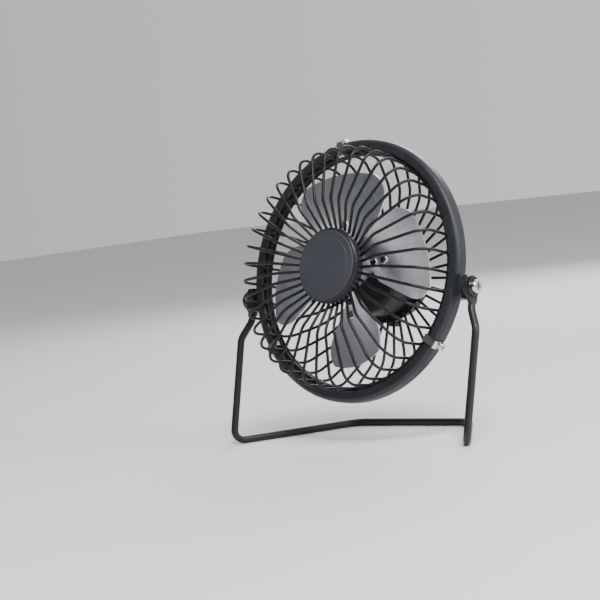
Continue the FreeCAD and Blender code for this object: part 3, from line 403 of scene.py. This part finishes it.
def plastic(name, colour, dust, roughness, grain=2200.0, dusty=0.15):
    tree, shader = new_material(name)
    skin = use_group(tree, moulded_skin, Colour=rgba(colour), Dust_Colour=rgba(dust), Roughness=roughness,
                     Grain_Size=grain, Dust=dusty)
    finish_with(tree, shader, skin)


def make_looks():
    """One material for each of the record's slots."""
    bare = (0.34, 0.34, 0.35)
    # Painted steel: stand, ring, wires and brackets, then the spun and pressed faces
    paint("stand_paint", (0.014, 0.0155, 0.017), bare, 0.38, peel=850.0, wear=0.18, edge_width=0.0005)
    paint("ring_paint", (0.021, 0.0225, 0.027), bare, 0.44, peel=1000.0, wear=0.2, edge=0.7)
    paint("wire_paint", (0.0050, 0.0054, 0.0064), (0.06, 0.06, 0.065), 0.40,
          peel=700.0, wear=0.15, edge=0.0)
    paint("bracket_paint", (0.013, 0.015, 0.017), bare, 0.40, peel=950.0, wear=0.25, edge=0.6)
    spun_paint("plate_paint", (0.012, 0.013, 0.016), bare, 0.38, lines=2200.0, depth=0.25)
    spun_paint("cap_paint", (0.040, 0.042, 0.051), (0.12, 0.12, 0.14), 0.52, lines=5200.0, depth=0.3)
    spun_paint("housing_paint", (0.011, 0.012, 0.014), bare, 0.36, lines=2000.0, depth=0.2)
    # Bare and plated metal
    metal("bright_steel", (0.78, 0.78, 0.79), (0.45, 0.44, 0.43), 0.13, depth=0.12, stained=0.2)
    metal("black_steel", (0.045, 0.045, 0.05), (0.16, 0.15, 0.14), 0.34, depth=0.3)
    metal("zinc_steel", (0.58, 0.60, 0.63), (0.34, 0.36, 0.38), 0.32, depth=0.3, stained=0.5)
    metal("bronze", (0.48, 0.28, 0.12), (0.20, 0.11, 0.05), 0.42, depth=0.2, stained=0.6)
    metal("brass", (0.78, 0.56, 0.24), (0.42, 0.28, 0.12), 0.26, depth=0.3)
    metal("copper", (0.80, 0.38, 0.22), (0.35, 0.15, 0.08), 0.24, depth=0.3, stained=0.5)
    metal("hub_aluminium", (0.50, 0.51, 0.53), (0.30, 0.31, 0.33), 0.42,
          lines=(500.0, 500.0, 500.0), stained=0.4)
    metal("blade_aluminium", (0.80, 0.81, 0.84), (0.60, 0.61, 0.65), 0.27,
          lines=(2600.0, 900.0, 60.0), depth=0.03, stained=0.22)
    # Copper wire under clear enamel, and the core's thin sheets stacked along the shaft
    metal("enamelled_copper", (0.55, 0.18, 0.07), (0.28, 0.07, 0.03), 0.28,
          lines=(300.0, 300.0, 300.0), depth=0.2, stained=0.4, Coat_Weight=0.6, Coat_Roughness=0.12)
    metal("core_steel", (0.42, 0.43, 0.45), (0.18, 0.17, 0.16), 0.42,
          lines=(40.0, 2400.0, 600.0), depth=0.9, stained=0.35)
    # Plastic, rubber and ferrite
    plastic("nylon", (0.035, 0.035, 0.036), (0.2, 0.19, 0.18), 0.55)
    plastic("moulded_nylon", (0.72, 0.70, 0.63), (0.45, 0.42, 0.36), 0.45, dusty=0.3)
    plastic("moulded_black", (0.016, 0.016, 0.018), (0.16, 0.15, 0.14), 0.48)
    plastic("button_plastic", (0.018, 0.018, 0.020), (0.2, 0.19, 0.18), 0.30, grain=2600.0, dusty=0.1)
    plastic("gland_rubber", (0.014, 0.014, 0.014), (0.22, 0.21, 0.2), 0.68, grain=1300.0, dusty=0.3)
    plastic("lead_insulation", (0.42, 0.02, 0.018), (0.5, 0.3, 0.28), 0.35, grain=1800.0, dusty=0.1)
    plastic("ferrite", (0.055, 0.055, 0.06), (0.15, 0.15, 0.15), 0.7, grain=1500.0, dusty=0.4)


def dress(piece, look):
    """Puts one material on every slot of a piece."""
    if not piece.material_slots:
        piece.data.materials.append(look)
    for slot in piece.material_slots:
        slot.material = look


def dress_cad_nodes():
    for part in frame["record"]["subparts"]:
        dress(frame["nodes"][part["node"]], looks[part["material_slot"]])


# ---- pieces ----

def put_in_scene(name, data):
    thing = bpy.data.objects.new(name, data)
    bpy.context.scene.collection.objects.link(thing)
    return thing


def finished(bm, name, body, slot):
    """Mesh made from a bmesh in the head's frame, riding on its body."""
    bmesh.ops.transform(bm, matrix=HEAD, verts=bm.verts)
    bmesh.ops.remove_doubles(bm, verts=bm.verts, dist=MERGE_GAP)
    bmesh.ops.recalc_face_normals(bm, faces=bm.faces)
    for face in bm.faces:
        face.smooth = True
    for edge in bm.edges:
        edge.smooth = edge.calc_face_angle(0.0) < SMOOTH_ANGLE
    mesh = bpy.data.meshes.new(name)
    bm.to_mesh(mesh)
    bm.free()
    piece = put_in_scene(name, mesh)
    dress(piece, looks[slot])
    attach(piece, body)
    return piece


def local_length(node):
    """Length along the fan's axis of a round CAD node, worked out from its tilted box."""
    low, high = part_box(node)
    depth, radius = high.y - low.y, (high.x - low.x) / 2
    return (depth - 2 * radius * math.sin(HEAD_TILT)) / math.cos(HEAD_TILT)


def quarter_turn():
    """Angles from nothing to a quarter turn, for a rounded corner."""
    return [math.radians(90 * index / ROUND_STEPS) for index in range(ROUND_STEPS + 1)]


def spun(profile, facets):
    """Closed shape turned about the fan's axis from (radius, forward) points that run from axis to axis."""
    bm = bmesh.new()
    points = [bm.verts.new((radius, -forward, 0.0)) for radius, forward in profile]
    edges = [bm.edges.new(pair) for pair in zip(points, points[1:])]
    bmesh.ops.spin(bm, geom=points + edges, cent=(0, 0, 0), axis=(0, 1, 0), angle=2 * math.pi,
                   steps=facets, use_merge=True)
    bmesh.ops.remove_doubles(bm, verts=bm.verts, dist=MERGE_GAP)
    return bm


def weld_beads(name, radius, forward):
    """A small flattened bead of weld under the coat, where each wire meets a hoop."""
    bm = bmesh.new()
    for index in range(WIRE_COUNT):
        angle = (index + 0.5) * 2 * math.pi / WIRE_COUNT
        turn = Matrix.Rotation(angle, 4, "Y")
        flattened = Matrix.Diagonal((1, BEAD_DEEP / BEAD_WIDE, 1, 1))
        shape = turn @ Matrix.Translation((radius, -forward, 0)) @ flattened
        bmesh.ops.create_uvsphere(bm, u_segments=BEAD_SEGMENTS, v_segments=BEAD_RINGS, radius=BEAD_WIDE,
                                  matrix=shape)
    return finished(bm, name, "head", "wire_paint")


def guard_welds():
    outer = round_radius("front_outer_hoop") - HOOP_R
    inner = round_radius("front_inner_hoop") - HOOP_R
    weld_beads("front_rim_welds", outer, -local_middle("front_outer_hoop").y + HOOP_R - BEAD_SINK)
    weld_beads("front_hub_welds", inner, -local_middle("front_inner_hoop").y + HOOP_R + BEAD_SINK)
    weld_beads("rear_rim_welds", outer, -local_middle("rear_hoop").y - HOOP_R + BEAD_SINK)


def stepped_cap():
    """Spun disc on the front plate: flat middle, one fine step and a rolled edge."""
    radius = round_radius("front_cap")
    middle = -local_middle("front_cap").y
    front = middle + CAP_SHEET / 2
    back = middle - CAP_SHEET / 2
    step = radius * CAP_STEP_SHARE
    roll_radius = radius - CAP_ROLL
    roll_forward = front - CAP_STEP - CAP_ROLL
    profile = [(0, front), (step, front), (step + CAP_STEP, front - CAP_STEP)]
    for angle in reversed(quarter_turn()):
        profile.append((roll_radius + CAP_ROLL * math.cos(angle), roll_forward + CAP_ROLL * math.sin(angle)))
    profile += [(radius, back), (0, back)]
    cap = finished(spun(profile, CAP_FACETS), "front_cap_disc", "head", "cap_paint")
    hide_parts("front_cap")


def dished_button():
    """Switch button: rounded lip round a shallow dish, and the stem that runs into the switch."""
    middle = -local_middle("push_button").y
    half = local_length("push_button") / 2
    tip, end = middle - half, middle + half
    shoulder = tip + BUTTON_HEAD_DEPTH
    dish_r = BUTTON_HEAD_R - BUTTON_LIP
    profile = [(0, tip + BUTTON_DISH)]
    for index in range(1, ROUND_STEPS + 1):
        share = index / ROUND_STEPS
        profile.append((dish_r * share, tip + BUTTON_DISH * (1 - share ** 2)))
    for angle in quarter_turn()[1:]:
        profile.append((dish_r + BUTTON_LIP * math.sin(angle), tip + BUTTON_LIP * (1 - math.cos(angle))))
    profile += [(BUTTON_HEAD_R, shoulder), (BUTTON_STEM_R, shoulder), (BUTTON_STEM_R, end), (0, end)]
    button = finished(spun(profile, BUTTON_FACETS), "switch_button", "button", "button_plastic")
    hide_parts("push_button")


def return_spring():
    """Coil between the switch's bore and the button's stem."""
    middle = local_middle("button_spring")
    full = local_length("button_spring")
    length = full - 2 * SPRING_WIRE_R
    steps = int(SPRING_TURNS * SPRING_STEPS)
    bm = bmesh.new()
    start = Matrix.Translation((SPRING_COIL_R, -length / 2, 0.0))
    bmesh.ops.create_circle(bm, cap_ends=True, segments=SPRING_SIDES, radius=SPRING_WIRE_R, matrix=start)
    bmesh.ops.spin(bm, geom=bm.faces[:], cent=(0, 0, 0), axis=(0, 1, 0), angle=2 * math.pi * SPRING_TURNS,
                   dvec=(0, length / steps, 0), steps=steps)
    bmesh.ops.translate(bm, vec=(0, middle.y, 0), verts=bm.verts)
    spring = finished(bm, "return_spring", "head", "bright_steel")
    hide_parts("button_spring")
    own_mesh(spring)


def ribbed_inlet():
    """Rubber inlet: two flanges with a groove for the cover's wall, then a ribbed sleeve."""
    centre = local_middle("cable_gland")
    half = INLET_LENGTH / 2
    below = -half + INLET_ROUND
    groove_top = half - INLET_FLANGE
    groove_end = groove_top - INLET_GROOVE
    sleeve_top = groove_end - INLET_FLANGE
    pitch = (sleeve_top - below) / INLET_RIBS
    profile = [(INLET_BORE_R, half), (INLET_FLANGE_R - INLET_ROUND, half),
               (INLET_FLANGE_R, half - INLET_ROUND), (INLET_FLANGE_R, groove_top),
               (INLET_BODY_R, groove_top), (INLET_BODY_R, groove_end),
               (INLET_FLANGE_R, groove_end), (INLET_FLANGE_R, sleeve_top + INLET_ROUND),
               (INLET_FLANGE_R - INLET_ROUND, sleeve_top)]
    for index in range(INLET_RIBS):
        top = sleeve_top - index * pitch
        profile += [(INLET_BODY_R - INLET_RIB_DEPTH, top), (INLET_BODY_R - INLET_RIB_DEPTH, top - pitch / 3),
                    (INLET_BODY_R, top - pitch / 2), (INLET_BODY_R, top - pitch)]
    profile += [(INLET_BODY_R - INLET_ROUND, -half), (INLET_BORE_R, -half)]
    bm = bmesh.new()
    points = [bm.verts.new((radius, 0.0, height)) for radius, height in profile]
    edges = [bm.edges.new(pair) for pair in zip(points, points[1:] + points[:1])]
    bmesh.ops.spin(bm, geom=points + edges, cent=(0, 0, 0), axis=(0, 0, 1), angle=2 * math.pi,
                   steps=INLET_FACETS, use_merge=True)
    bmesh.ops.translate(bm, vec=centre, verts=bm.verts)
    inlet = finished(bm, "ribbed_cable_inlet", "head", "gland_rubber")
    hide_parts("cable_gland")


def turn_path(wide, long):
    """Points round one flat turn with rounded corners, in the plane across the arm."""
    bend = min(wide, long) * COIL_BEND_SHARE
    path = []
    for corner, (side_y, side_z) in enumerate([(1, 1), (-1, 1), (-1, -1), (1, -1)]):
        for step in range(COIL_CORNER_POINTS):
            angle = math.radians(90 * (corner + step / (COIL_CORNER_POINTS - 1)))
            path.append(Vector((0.0, side_y * (long / 2 - bend) + bend * math.cos(angle),
                                side_z * (wide / 2 - bend) + bend * math.sin(angle))))
    return path


def wire_turn(bm, wide, long, seat):
    """One closed turn of round wire: a ring of the wire's section at each point, bridged to the next."""
    path = turn_path(wide, long)
    sections = []
    for index, point in enumerate(path):
        along = (path[(index + 1) % len(path)] - path[index - 1]).normalized()
        outward = along.cross(Vector((1, 0, 0)))
        across = Matrix.Translation(point) @ Matrix(((1, 0, 0), outward, along)).transposed().to_4x4()
        made = bmesh.ops.create_circle(bm, segments=COIL_WIRE_SIDES, radius=COIL_WIRE_R, matrix=seat @ across)
        sections.append(list(dict.fromkeys(edge for vertex in made["verts"] for edge in vertex.link_edges)))
    for before, after in zip(sections, sections[1:] + sections[:1]):
        bmesh.ops.bridge_loops(bm, edges=before + after)


def wound_coils():
    """Three coils of enamelled wire round the armature's arms."""
    middle = local_middle("armature_windings")
    pitch = (COIL_LENGTH - 2 * COIL_WIRE_R) / (COIL_TURNS - 1)
    bm = bmesh.new()
    for pole in range(POLE_COUNT):
        arm = Matrix.Rotation(pole * 2 * math.pi / POLE_COUNT, 4, "Y")
        for layer in range(COIL_LAYERS):
            grow = COIL_WIRE_R * (2 * layer + 1)
            for index in range(COIL_TURNS):
                outward = COIL_START_R + COIL_WIRE_R + index * pitch
                seat = arm @ Matrix.Translation((outward, middle.y, 0.0))
                wire_turn(bm, COIL_HOLE_WIDE + 2 * grow, COIL_HOLE_LONG + 2 * grow, seat)
    coils = finished(bm, "wound_coils", "rotor", "enamelled_copper")
    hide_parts("armature_windings")


def place_camera():
    """Camera to the right of the fan's front, a little above the table, with the fan right of its middle."""
    away = Vector((math.sin(VIEW_AZIMUTH) * math.cos(VIEW_ELEVATION),
                   -math.cos(VIEW_AZIMUTH) * math.cos(VIEW_ELEVATION),
                   math.sin(VIEW_ELEVATION)))
    right = Vector((math.cos(VIEW_AZIMUTH), math.sin(VIEW_AZIMUTH), 0.0))
    up = away.cross(right)
    eye = HEAD_CENTRE + away * VIEW_DISTANCE
    aim = HEAD_CENTRE - right * AIM_RIGHT - up * AIM_UP
    data = bpy.data.cameras.new("camera")
    data.lens = LENS
    data.clip_start = 0.01
    camera = put_in_scene("camera", data)
    camera.location = eye
    turn = (eye - aim).to_track_quat("Z", "Y") @ Quaternion((0, 0, 1), -VIEW_ROLL)
    camera.rotation_mode = "QUATERNION"
    camera.rotation_quaternion = turn
    bpy.context.scene.camera = camera


def area_light(name, place_at, size, power):
    """A round soft light that points at the middle of the ring."""
    data = bpy.data.lights.new(name, "AREA")
    data.shape = "DISK"
    data.size = size
    data.energy = power
    light = put_in_scene(name, data)
    light.location = place_at
    light.rotation_mode = "QUATERNION"
    light.rotation_quaternion = (Vector(place_at) - HEAD_CENTRE).to_track_quat("Z", "Y")


def light_studio():
    area_light("key", (0.55, -0.45, 1.05), size=0.5, power=16.0)
    area_light("side", (1.1, 0.10, 0.55), size=0.5, power=7.0)
    area_light("back", (-0.4, 0.9, 0.6), size=0.6, power=6.0)
    world = bpy.data.worlds.new("studio")
    world.use_nodes = True
    tree = world.node_tree
    towards = place(tree, "ShaderNodeTexCoord").outputs["Generated"]
    facing = place(tree, "ShaderNodeVectorMath", {0: towards, 1: BRIGHT_SIDE}, operation="DOT_PRODUCT")
    share = ramp(tree, facing.outputs["Value"], 0.0, 1.0, from_low=-0.7, from_high=0.75)
    sky = blend_colour(tree, share, rgba(DIM_SKY), rgba(BRIGHT_SKY))
    tree.links.new(sky, tree.nodes["Background"].inputs["Color"])
    bpy.context.scene.world = world


def lay_floor():
    bm = bmesh.new()
    bmesh.ops.create_grid(bm, x_segments=1, y_segments=1, size=FLOOR_REACH)
    mesh = bpy.data.meshes.new("floor")
    bm.to_mesh(mesh)
    bm.free()
    floor = put_in_scene("floor", mesh)
    tree, shader = new_material("floor", Roughness=0.8)
    shader.inputs["Base Color"].default_value = rgba(FLOOR_COLOUR)
    dress(floor, looks["floor"])


make_looks()
dress_cad_nodes()
guard_welds()
stepped_cap()
dished_button()
return_spring()
ribbed_inlet()
wound_coils()
place_camera()
light_studio()
lay_floor()
